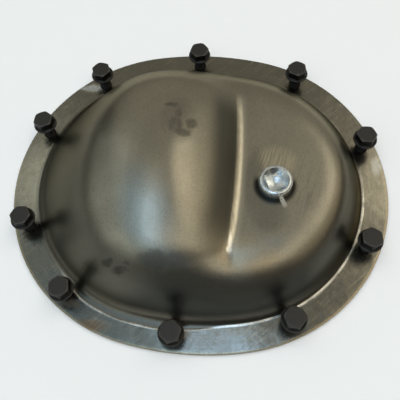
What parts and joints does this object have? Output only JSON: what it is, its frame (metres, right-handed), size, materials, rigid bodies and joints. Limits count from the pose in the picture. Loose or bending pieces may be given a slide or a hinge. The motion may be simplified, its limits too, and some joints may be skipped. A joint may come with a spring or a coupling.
{
  "type": "differential cover",
  "caption": "Oval pressed steel axle cover with a stepped dome, a square-socket fill plug screwed into a weld boss, and loose washer-head bolts standing in its flange holes.",
  "frame": {"origin": "centre of the sealing face, which lies in the plane z = 0", "axes": "+X along the oval's long way towards the plug end, +Y towards the far long side, +Z out of the dome"},
  "size_m": [0.3, 0.264, 0.0658],
  "materials": {
    "bare_steel": "oiled bare pressed steel, faint rust tint",
    "zinc_plate": "bright zinc plate",
    "boss_steel": "bare turned steel",
    "black_bolt": "black oxide, satin"
  },
  "bodies": {
    "root": {"cover": "bare_steel", "fill_plug": "zinc_plate", "plug_boss": "boss_steel", "cover_bolt_01": "black_bolt", "cover_bolt_02": "black_bolt", "cover_bolt_03": "black_bolt", "cover_bolt_04": "black_bolt", "cover_bolt_05": "black_bolt", "cover_bolt_06": "black_bolt", "cover_bolt_07": "black_bolt", "cover_bolt_08": "black_bolt", "cover_bolt_09": "black_bolt", "cover_bolt_10": "black_bolt"}
  },
  "joints": []
}
